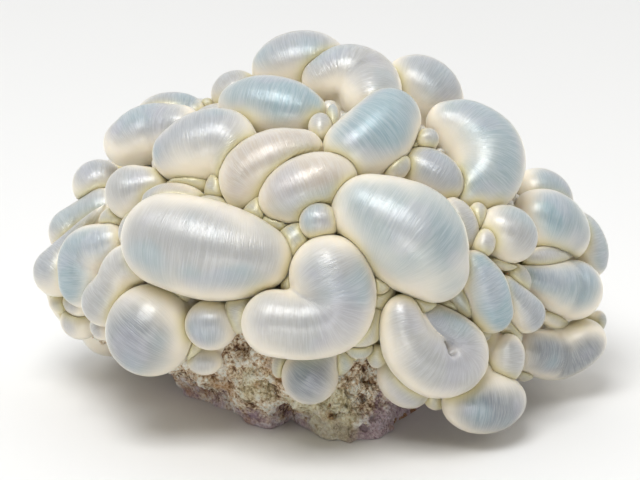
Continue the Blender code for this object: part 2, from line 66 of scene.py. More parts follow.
TOP_OUTLINE = [(-48, 0), (-38, -21), (-20, -32), (0, -35), (22, -31), (39, -20), (47, 0), (38, 21),
               (20, 31), (0, 35), (-20, 32), (-38, 21)]

# Holes: degrees round from the right, level, radius and depth
PITS = [(-80, -29, 3.2, 4.5), (-72, -22, 2.4, 3.0), (-63, -30, 2.6, 3.5), (-88, -36, 2.2, 2.5),
        (-56, -24, 2.4, 3.0), (-97, -18, 2.6, 3.0), (-108, -26, 3.0, 3.0), (-124, -16, 3.4, 3.5),
        (-138, -27, 2.8, 3.0), (-152, -20, 2.6, 2.5), (-168, -29, 3.0, 3.0), (-40, -30, 3.2, 3.5),
        (-18, -22, 3.0, 3.0), (4, -31, 3.4, 3.5), (27, -20, 3.0, 3.0), (49, -29, 3.6, 4.0),
        (73, -18, 3.0, 3.0), (92, -30, 3.4, 3.5), (114, -22, 3.2, 3.5), (135, -31, 3.0, 3.0),
        (158, -19, 3.2, 3.0), (176, -33, 2.6, 2.5)]

# The crust: features in a metre, then metres, then where soft edges start and end
BEND_SCALE = 160.0
KNOB_SCALE = 230.0
HOLE_SCALE = 235.0
PATCH_SCALE = 45.0
CRUMB_SCALE = 560.0
BEND = 0.004  # how far the knobs and holes stray from an even pattern
GRAIN_RADIUS = 0.001
GRAIN_LEAST = (0.25, 0.25, 0.2)
GRAIN_MOST = (0.75, 0.65, 0.5)
FULL_TURN = 6.28
KNOB_FOOT = 0.42  # the cell distance at which a knob meets the plain rock
HOLE_EDGE = (0.24, 0.36)
HOLE_PATCH_EDGE = (0.50, 0.60)
HOLES_TO_THE_RIGHT = 9  # how much more the right side is bored, for each metre
CRUST_FOOT = (0.0, 0.0025)
CRUST_TOP = (0.031, 0.035)
GRIT_FOOT = (0.0012, 0.003)

# The rock's colours; those in pairs are for its hollows and its knobs. Where a colour follows the relief,
# its darker hollows and lighter knobs are painted shade and light
BUFF = [(0.24, (0.13, 0.06, 0.03)), (0.36, (0.46, 0.30, 0.17)), (0.48, (0.86, 0.70, 0.49)),
        (0.62, (1.0, 0.97, 0.86))]
MAUVE = (0.26, 0.15, 0.22, 1), (0.80, 0.64, 0.76, 1)
OLIVE = (0.55, 0.48, 0.20, 1), (1.0, 0.97, 0.70, 1)
RUST = (0.52, 0.27, 0.10, 1)
HOLE_BROWN = (0.34, 0.17, 0.07, 1)
# painted shade: the dark brown that darkens the relief's hollows
HOLLOW_SHADE = (0.14, 0.08, 0.05, 1)
PALE_GRAIN = (0.92, 0.88, 0.78, 1)


class Wire:
    """A node's socket that can be used in sums: each sum adds its Math node."""

    def __init__(self, tree, socket):
        self.tree = tree
        self.socket = socket

    def sum(self, operation, first, second):
        return add_node(self.tree, "ShaderNodeMath", {"operation": operation}, {0: first, 1: second})

    def __add__(self, other):
        return self.sum("ADD", self, other)

    def __sub__(self, other):
        return self.sum("SUBTRACT", self, other)

    def __rsub__(self, other):
        return self.sum("SUBTRACT", other, self)

    def __mul__(self, other):
        return self.sum("MULTIPLY", self, other)

    def __truediv__(self, other):
        return self.sum("DIVIDE", self, other)

    __radd__ = __add__
    __rmul__ = __mul__


def add_node(tree, kind, settings=None, inputs=None, output=0):
    """Add a node: its settings or ramp stops first, then the values or wires of its sockets."""
    node = tree.nodes.new(kind)
    for name, value in (settings or {}).items():
        if name == "stops":
            ramp = node.color_ramp.elements
            for place, colour in value[len(ramp):]:
                ramp.new(place).color = (*colour, 1)
            for element, (place, colour) in zip(ramp, value):
                element.position = place
                element.color = (*colour, 1)
        else:
            setattr(node, name, value)
    for name, value in (inputs or {}).items():
        if isinstance(value, Wire):
            tree.links.new(value.socket, node.inputs[name])
        else:
            node.inputs[name].default_value = value
    return Wire(tree, node.outputs[output]) if len(node.outputs) else None


def steps_up(value, low, high):
    """A smooth rise from 0 at low to 1 at high."""
    return add_node(value.tree, "ShaderNodeMapRange", {"interpolation_type": "SMOOTHSTEP"},
                    {"Value": value, "From Min": low, "From Max": high})


def blend(tree, share, first, second):
    """A mix of two colours."""
    return add_node(tree, "ShaderNodeMix", {"data_type": "RGBA"}, {0: share, 6: first, 7: second}, 2)


def scaled(tree, vector, amount):
    """A vector times a number."""
    return add_node(tree, "ShaderNodeVectorMath", {"operation": "SCALE"}, {0: vector, "Scale": amount})


def cloud(tree, place, size, detail=2.0, rough=0.5):
    """Soft noise, 0 to 1, with features of about the size in millimetres."""
    return add_node(tree, "ShaderNodeTexNoise", {},
                    {"Vector": place, "Scale": 1 / (size * MM), "Detail": detail, "Roughness": rough})


def axes_of(tree, vector, axes=(0, 1, 2)):
    """A vector's numbers along the axes."""
    return [add_node(tree, "ShaderNodeSeparateXYZ", {}, {0: vector}, axis) for axis in axes]


def carried(tree, name, output="Fac"):
    """What a material reads of an attribute that its piece carries."""
    return add_node(tree, "ShaderNodeAttribute", {"attribute_name": name}, {}, output)


def marked(tree, form, kind, name, value):
    """A form whose corners carry a named attribute."""
    return add_node(tree, "GeometryNodeStoreNamedAttribute", {"data_type": kind, "domain": "POINT"},
                    {"Geometry": form, "Name": name, "Value": value})


def new_material(name):
    """An empty material and its tree."""
    material = bpy.data.materials.new(name)
    material.use_nodes = True
    material.node_tree.nodes.clear()
    return material, material.node_tree


def close_material(tree, inputs):
    """Give the tree its one surface shader."""
    shader = add_node(tree, "ShaderNodeBsdfPrincipled", {}, inputs)
    add_node(tree, "ShaderNodeOutputMaterial", {}, {"Surface": shader})


def new_tree(name, sizes):
    """A geometry tree with one geometry in and out, and a named number for each size."""
    tree = bpy.data.node_groups.new(name, "GeometryNodeTree")
    tree.interface.new_socket("Geometry", in_out="INPUT", socket_type="NodeSocketGeometry")
    for size in sizes:
        tree.interface.new_socket(size, in_out="INPUT", socket_type="NodeSocketFloat")
    tree.interface.new_socket("Geometry", in_out="OUTPUT", socket_type="NodeSocketGeometry")
    start = tree.nodes.new("NodeGroupInput")
    return tree, {socket.name: Wire(tree, socket) for socket in start.outputs if socket.name}


def grown(obj, tree, sizes):
    """Run a geometry tree on an object and keep what it grows as the object's plain mesh."""
    modifier = obj.modifiers.new(tree.name, "NODES")
    modifier.node_group = tree
    for socket in tree.interface.items_tree:
        if socket.in_out == "INPUT" and socket.name in sizes:
            modifier[socket.identifier] = sizes[socket.name]
    return kept(obj)


def kept(obj):
    """Keep what an object's modifiers make as its plain mesh."""
    ready = bpy.context.evaluated_depsgraph_get()
    mesh = bpy.data.meshes.new_from_object(obj.evaluated_get(ready), preserve_all_data_layers=True,
                                           depsgraph=ready)
    obj.modifiers.clear()
    obj.data = mesh
    return obj


def placed(points):
    """Places in metres in the frame, from millimetres about the view's middle."""
    return (np.asarray(points, float) - (*BOX_MIDDLE, FLOOR)) * MM


def new_piece(name, shape, material):
    """A smooth piece from a bmesh in millimetres."""
    mesh = bpy.data.meshes.new(name)
    shape.to_mesh(mesh)
    shape.free()
    places = np.empty(len(mesh.vertices) * 3)
    mesh.vertices.foreach_get("co", places)
    mesh.vertices.foreach_set("co", placed(places.reshape(-1, 3)).ravel())
    mesh.polygons.foreach_set("use_smooth", [True] * len(mesh.polygons))
    mesh.materials.append(material)
    piece = bpy.data.objects.new(name, mesh)
    bpy.context.collection.objects.link(piece)
    return piece


def ease(share):
    """A smooth step from 0 to 1."""
    share = np.clip(share, 0, 1)
    return share * share * (3 - 2 * share)


def outline_radius(outline, angles):
    """How far an outline lies from the rock's middle, in each direction."""
    spots = np.asarray(outline, float) - ROCK_MIDDLE
    turns = np.arctan2(spots[:, 1], spots[:, 0])
    order = np.argsort(turns)
    return np.interp(angles, turns[order], np.hypot(*spots.T)[order], period=2 * math.pi)


def rock_form(levels, angles):
    """The rock's smooth bowl: its radius at every level and direction."""
    base, waist, top = (outline_radius(outline, angles)
                        for outline in (BASE_OUTLINE, WAIST_OUTLINE, TOP_OUTLINE))
    lower = ease(np.clip((levels - FLOOR) / (ROCK_WAIST - FLOOR), 0, 1) ** NARROW_FOOT)
    upper = ease((levels - ROCK_WAIST) / (ROCK_TOP - ROCK_WAIST))
    return base + (waist - base) * lower + (top - waist) * upper


def spun(profile, spokes):
    """A closed solid from a profile of (radius, level) pairs turned about the z axis."""
    shape = bmesh.new()
    turns = [2 * math.pi * step / spokes for step in range(spokes)]
    rings = [[shape.verts.new((radius * math.cos(turn), radius * math.sin(turn), level)) for turn in turns]
             if radius else [shape.verts.new((0, 0, level))] * spokes for radius, level in profile]
    for lower, upper in zip(rings, rings[1:]):
        for step in range(spokes):
            corners = lower[step - 1], lower[step], upper[step], upper[step - 1]
            shape.faces.new(dict.fromkeys(corners))
    return shape


def rock_shape():
    """The bowl with its lumps and its larger pits."""
    levels = FLOOR + (ROCK_TOP - FLOOR) * np.linspace(0, 1, ROCK_RINGS + 1)
    cut, lid = ([(0, level), (INNER_RING, level)] for level in (FLOOR, ROCK_TOP))
    shape = spun(cut + [(1, level) for level in levels] + lid[::-1], ROCK_SPOKES)
    rim = [vertex for vertex in shape.verts if vertex.co.xy.length > 0]
    spots = np.array([vertex.co for vertex in rim])
    turns = np.arctan2(spots[:, 1], spots[:, 0])
    share = np.hypot(spots[:, 0], spots[:, 1])
    radius = rock_form(spots[:, 2], turns)
    fade = 1 - ease((spots[:, 2] - ROCK_TOP + LUMP_FADE) / LUMP_FADE)
    for row, (turn, level) in enumerate(zip(turns, spots[:, 2])):
        spot = Vector((math.cos(turn) * radius[row], math.sin(turn) * radius[row], level))
        lump = LUMP_HEIGHT * noise.noise(spot / LUMP_SIZE) + KNOB_HEIGHT * noise.noise(spot / KNOB_SIZE)
        radius[row] += lump * fade[row]
    for turn, level, size, depth in PITS:
        away = np.angle(np.exp(1j * (turns - math.radians(turn)))) * radius
        radius -= depth * np.exp(-(away ** 2 + (spots[:, 2] - level) ** 2) / size ** 2)
    for vertex, turn, reach in zip(rim, turns, radius * share):
        vertex.co.x = math.cos(turn) * reach
        vertex.co.y = math.sin(turn) * reach
    for vertex in shape.verts:
        vertex.co.xy += Vector(ROCK_MIDDLE)
    return shape


def crust_tree(material):
    """Knobs, crumbs, bored holes and scattered grit on the rock."""
    tree, size = new_tree("Rock crust", ["Knob", "Crumb", "Hole", "Grit per area"])
    place = add_node(tree, "GeometryNodeInputPosition")
    normal = add_node(tree, "GeometryNodeInputNormal")
    across, level = axes_of(tree, place, (0, 2))
    bent = add_node(tree, "ShaderNodeTexNoise", {}, {"Vector": place, "Scale": BEND_SCALE, "Detail": 2.0}, 1)
    bent = add_node(tree, "ShaderNodeVectorMath", {"operation": "SUBTRACT"}, {0: bent, 1: (0.5, 0.5, 0.5)})
    spot = add_node(tree, "ShaderNodeVectorMath", {"operation": "ADD"},
                    {0: place, 1: scaled(tree, bent, BEND)})
    cells = add_node(tree, "ShaderNodeTexVoronoi", {"feature": "SMOOTH_F1"},
                     {"Vector": spot, "Scale": KNOB_SCALE, "Smoothness": 0.3})
    holes = add_node(tree, "ShaderNodeTexVoronoi", {},
                     {"Vector": spot, "Scale": HOLE_SCALE, "Randomness": 0.75})
    patch = add_node(tree, "ShaderNodeTexNoise", {}, {"Vector": place, "Scale": PATCH_SCALE})
    bored = 1 - steps_up(holes, *HOLE_EDGE)
    bored = bored * steps_up(patch + across * HOLES_TO_THE_RIGHT, *HOLE_PATCH_EDGE)
    crumbs = add_node(tree, "ShaderNodeTexNoise", {},
                      {"Vector": place, "Scale": CRUMB_SCALE, "Detail": 6.0, "Roughness": 0.7})
    free = steps_up(level, *CRUST_FOOT) * (1 - steps_up(level, *CRUST_TOP))
    lift = (KNOB_FOOT - cells) * size["Knob"] + (crumbs - 0.5) * size["Crumb"] - bored * size["Hole"]
    lift = lift * free
    moved = add_node(tree, "GeometryNodeSetPosition", {},
                     {"Geometry": size["Geometry"], "Offset": scaled(tree, normal, lift)})
    for name, value in (("relief", lift / MM), ("bored", bored)):
        moved = marked(tree, moved, "FLOAT", name, value)
    density = size["Grit per area"] * free * steps_up(level, *GRIT_FOOT)
    points = add_node(tree, "GeometryNodeDistributePointsOnFaces", {},
                      {"Mesh": moved, "Density": density, "Seed": 4})
    grain = add_node(tree, "GeometryNodeMeshIcoSphere", {}, {"Radius": GRAIN_RADIUS, "Subdivisions": 1})
    spread = add_node(tree, "FunctionNodeRandomValue", {"data_type": "FLOAT_VECTOR"},
                      {0: GRAIN_LEAST, 1: GRAIN_MOST, "Seed": 7})
    turn = add_node(tree, "FunctionNodeRandomValue", {"data_type": "FLOAT_VECTOR"},
                    {0: (0, 0, 0), 1: (FULL_TURN, FULL_TURN, FULL_TURN), "Seed": 9})
    grit = add_node(tree, "GeometryNodeInstanceOnPoints", {},
                    {"Points": points, "Instance": grain, "Scale": spread, "Rotation": turn})
    both = tree.nodes.new("GeometryNodeJoinGeometry")
    tree.links.new(moved.socket, both.inputs[0])
    tree.links.new(grit.socket, both.inputs[0])
    plain = add_node(tree, "GeometryNodeRealizeInstances", {}, {"Geometry": Wire(tree, both.outputs[0])})
    clad = add_node(tree, "GeometryNodeSetMaterial", {}, {"Geometry": plain, "Material": material})
    add_node(tree, "NodeGroupOutput", {}, {"Geometry": clad})
    return tree


def near_spot(tree, place, spot, reach):
    """1 at a spot, falling to 0 at its reach in millimetres."""
    away = add_node(tree, "ShaderNodeVectorMath", {"operation": "DISTANCE"},
                    {0: place, 1: tuple(placed([spot])[0])}, "Value")
    return 1 - away / (reach * MM)


def rock_material():
    """Buff limestone with painted shade in its hollows, with mauve, olive and rusty crusts and pale grains.
    """
    material, tree = new_material("crusted reef rock")
    place = add_node(tree, "ShaderNodeTexCoord", {}, {}, "Object")
    relief, bored = (carried(tree, name) for name in ("relief", "bored"))
    height, across = axes_of(tree, place, (2, 0))
    grain = add_node(tree, "ShaderNodeTexVoronoi", {}, {"Vector": place, "Scale": 1000.0})
    fine = cloud(tree, place, 0.8, 4.0, 0.7)
    mottle = cloud(tree, place, 3.0, 5.0, 0.65)
    edge = (cloud(tree, place, 5.0, 4.0, 0.65) - 0.5) * 1.6
    # random tone, made darker in the relief's hollows and lighter on its knobs: that part is painted shade
    # and light
    tone_and_shade = mottle * 0.8 + fine * 0.9 - grain * 0.3 + relief * 0.2 - 0.17
    colour = add_node(tree, "ShaderNodeValToRGB", {"stops": BUFF}, {0: tone_and_shade})
    mauve = steps_up(edge + (0.013 - height) * 50 + steps_up(across, 0.006, 0.02) * 0.5, 0.25, 0.75)
    colour = blend(tree, mauve * 0.75, colour, blend(tree, fine, *MAUVE))
    olive = steps_up(edge * 0.7 + near_spot(tree, place, (0, -36, -34), 14), 0.15, 0.45)
    olive = olive + steps_up(edge + near_spot(tree, place, (-16, -31, -27), 9), 0.25, 0.6) * 0.7
    colour = blend(tree, olive * 0.6, colour, blend(tree, tone_and_shade, *OLIVE))
    rust = steps_up(cloud(tree, scaled(tree, place, 0.7), 5.0, 4.0) + bored * 0.25, 0.56, 0.70)
    colour = blend(tree, rust * 0.6, colour, RUST)
    colour = blend(tree, bored * 0.85, colour, HOLE_BROWN)
    # painted shade: the deepest hollows of the relief are darkened towards dark brown
    hollow = 1 - steps_up(relief, -1.8, -0.7)
    colour = blend(tree, hollow * 0.7, colour, HOLLOW_SHADE)
    pale = steps_up(cloud(tree, place, 0.6, 2.0, 0.6), 0.60, 0.70)
    colour = blend(tree, pale * 0.55, colour, PALE_GRAIN)
    bump = add_node(tree, "ShaderNodeBump", {},
                    {"Strength": 0.9, "Distance": 0.0012, "Height": fine - grain})
    close_material(tree, {"Base Color": colour, "Roughness": 0.92 - fine * 0.12, "Normal": bump,
                          "Specular IOR Level": 0.3})
    return material


rock_finish = rock_material()
rock = new_piece("crusted_rock", rock_shape(), rock_finish)
grown(rock, crust_tree(rock_finish),
      {"Knob": 0.0024, "Crumb": 0.0020, "Hole": 0.0026, "Grit per area": 160000.0})
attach(rock, "root")
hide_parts("rock_base")


# Living skin
# A thin sheet of olive tissue grows over the rock's top, and every bubble swells out of it.
# It shows only in the gaps, moist and wrinkled, as yellow-green folds.
DOME_MIDDLE = np.array([0.0, 0.0, -12.0])
SKIN = np.array([52.0, 39.0, 41.0])
SKIN_FOOT = -3.7
SKIN_SPOKES = 220
SKIN_RINGS = 70
FOLD = 0.7
FOLD_SIZE = (9.0, 8.0, 12.0)  # across, deep and high
FOLDS_FROM = SKIN_FOOT + 0.1
WRINKLE = 0.5
WRINKLE_SIZE = 2.4
OLIVE_SKIN = (0.60, 0.56, 0.27, 1)
PALE_WRINKLE = (0.84, 0.80, 0.52, 1)
CREAM_PATCH = (0.80, 0.74, 0.56, 1)


def skin_fold(points):
    """The low folds of the living skin."""
    x, y, z = points.T
    across, deep, high = FOLD_SIZE
    return FOLD * np.sin(x / across + z / high) * np.sin(y / deep)


def skin_shape():
    """A low dome on a flat foot, with its folds and wrinkles."""
    foot = math.asin((SKIN_FOOT - DOME_MIDDLE[2]) / SKIN[2])
    heights = np.linspace(foot, math.pi / 2, SKIN_RINGS + 1)
    profile = [(0, SKIN_FOOT)] + [(math.cos(height), DOME_MIDDLE[2] + SKIN[2] * math.sin(height))
                                  for height in heights[:-1]] + [(0, DOME_MIDDLE[2] + SKIN[2])]
    shape = spun(profile, SKIN_SPOKES)
    for vertex in shape.verts:
        vertex.co.x *= SKIN[0]
        vertex.co.y *= SKIN[1]
        if vertex.co.z > FOLDS_FROM:
            lift = float(skin_fold(np.array([vertex.co]))[0])
            lift = lift + WRINKLE * noise.noise(vertex.co / WRINKLE_SIZE) - WRINKLE / 2
            vertex.co += (vertex.co - Vector(DOME_MIDDLE)).normalized() * lift
    return shape


def skin_material():
    """Moist yellow-green tissue with paler wrinkles."""
    material, tree = new_material("moist olive skin")
    place = add_node(tree, "ShaderNodeTexCoord", {}, {}, "Object")
    wrinkle = cloud(tree, place, 1.8, 3.0, 0.6)
    patch = cloud(tree, place, 9.0)
    colour = blend(tree, steps_up(wrinkle, 0.35, 0.7), OLIVE_SKIN, PALE_WRINKLE)
    colour = blend(tree, steps_up(patch, 0.45, 0.65) * 0.5, colour, CREAM_PATCH)
    bump = add_node(tree, "ShaderNodeBump", {}, {"Strength": 0.5, "Distance": 0.0006, "Height": wrinkle})
    close_material(tree, {"Base Color": colour, "Roughness": 0.35 + wrinkle * 0.2, "Normal": bump,
                          "Subsurface Weight": 0.2, "Subsurface Radius": (0.004, 0.004, 0.002)})
    return material


skin = new_piece("olive_skin", skin_shape(), skin_material())
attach(skin, "root")
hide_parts("living_skin")


# Bubbles
# Each bubble is a thin sac of tissue that the coral swells with water: pearly white, silky, a little
# see-through, with fine rings of fibres across it. They crowd together, so those behind are dented.
VIEW_DISTANCE = 1000.0
LOOK_DOWN = math.radians(20)
VIEW_RIGHT = np.array([1.0, 0.0, 0.0])
VIEW_UP = np.array([0.0, math.sin(LOOK_DOWN), math.cos(LOOK_DOWN)])
VIEW_NEAR = np.array([0.0, -math.cos(LOOK_DOWN), math.sin(LOOK_DOWN)])
DOME = np.array([61.0, 47.0, 51.0])
DEPTH_FOLLOW = 0.7  # how closely a bubble follows the dome's own curve
RIM_SOFTNESS = 0.0025
STEPS = 10  # straight stretches along a bubble's middle line
OVAL_PLACES = 5  # known places on the middle line of a front oval
BLUNT = 0.15  # how far an oval's ends are blunted
BLUNT_END = 0.95  # the radius of a fully blunt end, as a share of the half width
SWALLOWED = 1.001  # a stretch this short lies inside its wider end
DENT_SOFTNESS = 0.45
FLOOR_GAP = 0.6
NEIGHBOUR_GAP = 2.5  # bubbles closer than this can dent one another
WALK_STEPS = 22  # steps that a corner walks out to the surface
WALK_SHARE = 0.96  # how much of the room left each step takes
OWN_TURN = 1.1  # how far along the middle line a curl's turn reaches, in its radii
FAR = 99  # stands for stretches of other turns
SKIN_GRID = 0.4  # face size of a curl's mesh
CREASE_ROUNDS = 40  # rounds of softening for a curl's creases
SPOKES_LEAST = 24  # spokes of the smallest ball
SPOKES_PER_SIZE = 4.6  # more of them for each millimetre of radius
OVAL_RINGS = 0.66  # rings for each spoke
CURL_RINGS = 1.5
POLE_STRETCH = 0.5  # how much a long bubble's corners crowd towards its ends
HEART = np.array([0, 45, -25])  # fibres and the crown's darker painted reflection face away from here, seen from the dome's middle
LEVEL_RANK = 0.4  # how much height counts in which back bubble dents which
FIBRE_BLEND = 0.35
TIP_SOFTNESS = 0.3
CROWD_REACH = 2.1  # how far the green-gold of a meeting, partly painted shade, reaches
NECK_REACH = 0.62  # where the neck's foot lies between the dome's middle and the bubble
NECK_START = 0.8  # the neck's radii, as shares of the bubble's
NECK_END = 0.5
# Crown colours, far darker than the cream rim: that darker middle is painted reflection
CREAM = (0.42, 0.42, 0.41)
PEARL = (0.36, 0.38, 0.40)
PEACH = (0.52, 0.46, 0.39)
SEA_GREEN = (0.30, 0.38, 0.41)
# painted shade: a darker crown colour for the lowest bubbles, which get less light
SHADED_PEARL = (0.24, 0.26, 0.28)
TURQUOISE_SHEEN = (0.28, 0.43, 0.48, 1)
LILAC_SHEEN = (0.44, 0.43, 0.50, 1)
# the fibres' pale lines, partly painted glints
FIBRE_AND_GLINT = (0.74, 0.76, 0.77, 1)
# the tissue's cream, painted brighter at the rims as a glow of light through their thin edges
CREAM_RIM_GLOW = (0.87, 0.80, 0.67, 1)
# the tissue's green-gold where bubbles meet, made darker there as painted shade
GREEN_GOLD_AND_SHADE = (0.62, 0.56, 0.30, 1)

# Name, across and up of the middle as seen from the front, half length, half width, tilt in degrees,
# how far it stands out of the dome, colour
FRONT_OVALS = [
    ("crown_back", -5.2, 43.8, 12.0, 8.6, 10, -5, PEARL),
    ("crown_right", 25.8, 37.0, 10.8, 8.8, -35, -4, PEARL),
    ("crown_left_small", -21.0, 36.5, 6.4, 6.0, 20, -7, CREAM),
    ("upper_mid", -11.8, 32.8, 13.7, 8.2, -8, 1, SEA_GREEN),
    ("shoulder_back", -36.8, 31.8, 8.9, 5.3, 0, -8, PEARL),
    ("front_oval", -3.0, 13.0, 12.7, 8.1, 22, 4, PEACH),
    ("right_nook", 27.8, 16.2, 8.8, 6.2, -32, 0, PEARL),
    ("far_left_back", -55.5, 14.0, 6.6, 6.2, 20, -8, PEARL),
    ("low_left_round", -42.2, -22.5, 11.4, 11.1, 60, 6, SHADED_PEARL),
    ("left_saddle", -36.0, 9.0, 8.6, 5.2, -6, 2, PEACH),
    ("top_hollow", -27.0, 26.2, 8.4, 6.8, 60, -19, CREAM),
    ("low_left_bud", -60.0, -20.5, 5.0, 4.4, -15, -4, CREAM),
    ("low_left_small", -27.2, -21.2, 6.4, 6.2, 0, 5, PEARL),
    ("low_behind_curl", 20.8, -35.5, 7.4, 5.6, -45, 0, PEARL),
    ("low_right_oval", 41.0, -40.5, 10.5, 7.8, 5, 12, SHADED_PEARL),
    ("right_drop", 46.5, -29.8, 6.4, 4.6, 80, 7, CREAM),
    ("right_round", 46.8, 1.5, 7.8, 6.9, -35, 5, CREAM),
    ("right_wide", 57.5, 3.5, 10.8, 8.6, -35, 0, SEA_GREEN),
    ("right_high_back", 55.5, 10.8, 8.2, 7.0, -30, -8, PEARL),
    ("far_right_back", 65.8, -0.8, 9.0, 5.8, -65, -7, CREAM),
]

# Name, how far it stands out of the dome, colour, then the middle line: across, up, radius
FRONT_CHAINS = [
    ("crown", 3, CREAM, (1.2, 40.0, 5.8), (6.5, 41.8, 7.2), (11.5, 39.2, 8.2), (13.2, 35.0, 7.4)),
    ("upper_egg", 5, SEA_GREEN, (17.2, 30.0, 7.9), (14.0, 26.0, 8.9), (9.2, 22.5, 8.4)),
    ("shoulder_left", 0, PEARL, (-48.2, 24.2, 6.0), (-42.5, 26.5, 7.6), (-35.0, 28.0, 5.8)),
    ("shoulder_oval", 3, PEARL, (-34.8, 21.5, 7.0), (-29.0, 23.2, 9.0), (-23.5, 24.0, 8.0),
     (-22.5, 18.0, 4.5)),
    ("middle_oval", 2, PEACH, (-4.8, 21.8, 5.8), (-11.5, 19.5, 8.0), (-18.0, 16.0, 7.0), (-20.5, 10.5, 3.0)),
    ("front_right", 7, SEA_GREEN, (12.5, 6.8, 9.4), (18.0, 3.5, 11.8), (23.5, -0.2, 12.6),
     (28.8, -7.2, 8.2)),
    ("front_left", 7, CREAM, (-38.0, 0.0, 11.4), (-32.8, -1.3, 12.0), (-27.0, -2.8, 12.0),
     (-21.0, -3.8, 10.6), (-15.6, -4.4, 8.2)),
    ("left_bud", 1, CREAM, (-46.8, 11.8, 6.9), (-42.0, 13.5, 4.6)),
    ("far_left_high", -9, CREAM, (-61.8, 2.0, 6.2), (-54.0, 7.5, 5.6)),
    ("far_left_bulb", -1, PEARL, (-65.5, -8.0, 6.3), (-62.0, -2.5, 4.4), (-57.5, 1.5, 4.2),
     (-52.0, 5.5, 4.2)),
    ("far_left_long", 1, SEA_GREEN, (-58.5, -10.2, 6.9), (-57.8, -4.0, 7.2), (-52.5, -0.8, 5.0)),
    ("left_double", 5, CREAM, (-53.5, -15.5, 6.1), (-51.2, -11.5, 5.2), (-48.8, -7.0, 5.4),
     (-45.0, -5.5, 5.2)),
    ("low_middle", 2, SHADED_PEARL, (1.0, -29.2, 3.4), (-2.5, -34.0, 6.9)),
    ("right_long", 5, SEA_GREEN, (38.5, -6.8, 4.2), (41.0, -12.0, 5.8), (42.8, -17.8, 5.4)),
    ("right_pear", 3, PEARL, (46.2, -11.2, 2.4), (49.2, -15.2, 3.8), (51.5, -18.5, 4.8)),
    ("far_right_pear", 1, SEA_GREEN, (49.2, -8.2, 1.8), (55.0, -10.2, 4.0), (60.8, -12.0, 7.2),
     (63.2, -12.5, 7.6)),
    ("far_right_bean", 0, SHADED_PEARL, (52.0, -27.5, 5.4), (58.0, -28.6, 6.6), (63.0, -26.8, 6.4),
     (66.0, -25.2, 5.7)),
]

# The same for bubbles that curl, with how far the line swerves forward there
FRONT_CURLS = [
    ("right_curl", 3, SEA_GREEN, (32.0, 29.2, 5.6, 0), (36.5, 26.8, 8.2, 0), (41.2, 21.6, 9.8, 0),
     (41.4, 15.8, 8.6, 0), (37.2, 12.4, 6.4, -1)),
    ("front_curl", 8, CREAM, (2.4, -8.8, 9.8, -1), (4.6, -13.4, 9.2, -1), (3.2, -19.2, 8.8, 0),
     (-3.6, -21.4, 8.3, 1), (-11.2, -20.8, 8.2, 1.5)),
    ("low_curl", 6, CREAM, (21.0, -15.8, 2.6, 2), (20.4, -18.8, 4.8, 2), (20.9, -22.6, 5.9, 2),
     (23.2, -27.6, 7.2, 1), (28.8, -31.4, 8.0, 0), (34.4, -30.6, 7.2, 0), (35.8, -26.4, 5.8, -0.5),
     (32.0, -22.8, 5.2, -1.5), (27.6, -20.4, 4.8, -2.2)),
]

# Name, degrees round from straight back towards the right side, degrees above the dome's middle level,
# half length, half width, degrees of tilt, colour
BACK_OVALS = [
    ("back_top_left", -38, 35, 13.0, 9.6, 20, CREAM),
    ("back_top", 4, 48, 15.5, 11.0, -8, PEARL),
    ("back_top_right", 42, 34, 13.5, 10.2, -25, CREAM),
    ("back_high_left", -52, 16, 15.0, 11.0, 30, PEARL),
    ("back_high_mid_left", -19, 22, 16.5, 11.4, -20, PEACH),
    ("back_high_mid_right", 15, 20, 14.5, 11.8, 35, CREAM),
    ("back_high_right", 50, 10, 15.5, 11.4, -35, SEA_GREEN),
    ("back_far_left", -79, -5, 12.5, 9.8, 70, PEARL),
    ("back_left", -51, -10, 15.0, 11.2, -25, CREAM),
    ("back_mid_left", -24, -6, 16.0, 11.0, 20, SEA_GREEN),
    ("back_middle", 7, -7, 15.5, 12.4, -15, PEARL),
    ("back_right", 40, -11, 16.5, 11.0, 15, CREAM),
    ("back_far_right", 74, -7, 12.5, 9.8, -75, PEACH),
    ("back_low_left", -67, -20, 11.0, 8.0, 10, CREAM),
    ("back_low_mid_left", -35, -21, 12.5, 7.6, -8, PEARL),
    ("back_low_middle", -8, -21, 12.5, 7.8, 5, SEA_GREEN),
    ("back_low_mid_right", 21, -21, 12.5, 7.8, -5, PEACH),
    ("back_low_right", 54, -20, 12.5, 8.2, 10, PEARL),
]

